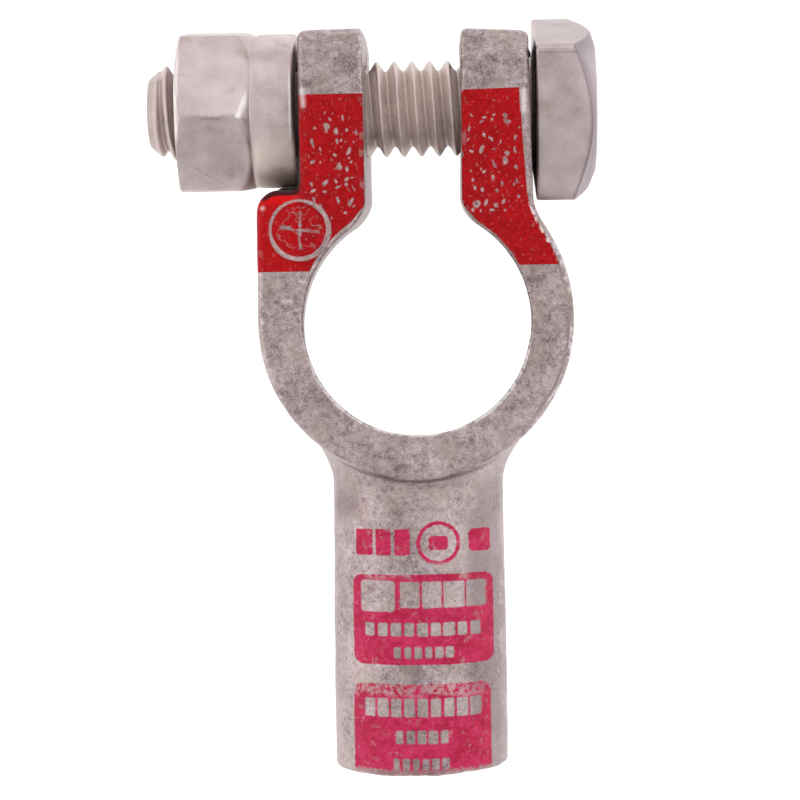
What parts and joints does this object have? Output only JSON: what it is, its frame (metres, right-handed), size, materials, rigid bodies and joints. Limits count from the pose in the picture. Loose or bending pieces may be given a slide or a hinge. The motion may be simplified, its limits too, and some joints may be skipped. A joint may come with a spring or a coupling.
{
  "type": "battery terminal clamp",
  "caption": "Cast battery-post clamp with two ears drawn together by a square-head bolt and a shouldered nut, and a round crimp barrel for the cable.",
  "frame": {"origin": "on the axis of the battery-post bore, in the casting's parting plane at mid-thickness", "axes": "+Z along the post axis, out of the marked face; +Y from the post towards the two ears; +X towards the bolt head. It lies on its plain face at z = -7.75 mm"},
  "size_m": [0.0357, 0.0605, 0.0157],
  "materials": {
    "tinned_casting": "dull tin plate over a cast copper alloy, partly painted",
    "bolt_steel": "satin stainless",
    "nut_steel": "satin stainless"
  },
  "bodies": {
    "casting": {"clamp_body": "tinned_casting"},
    "bolt": {"clamp_bolt": "bolt_steel"},
    "nut": {"clamp_nut": "nut_steel"}
  },
  "joints": [
    {"name": "bolt_turn", "type": "hinge", "parent": "casting", "child": "bolt", "pos_m": [0, 0.0173, 0], "axis": [1, 0, 0], "range_deg": [-60, 2880]},
    {"name": "nut_travel", "type": "slide", "parent": "casting", "child": "nut", "axis": [-1, 0, 0], "range_m": [-0.00024, 0.01129]}
  ],
  "couplings": [
    {"joint": "nut_travel", "follows": "bolt_turn", "m_per_rad": 0.00022458}
  ]
}
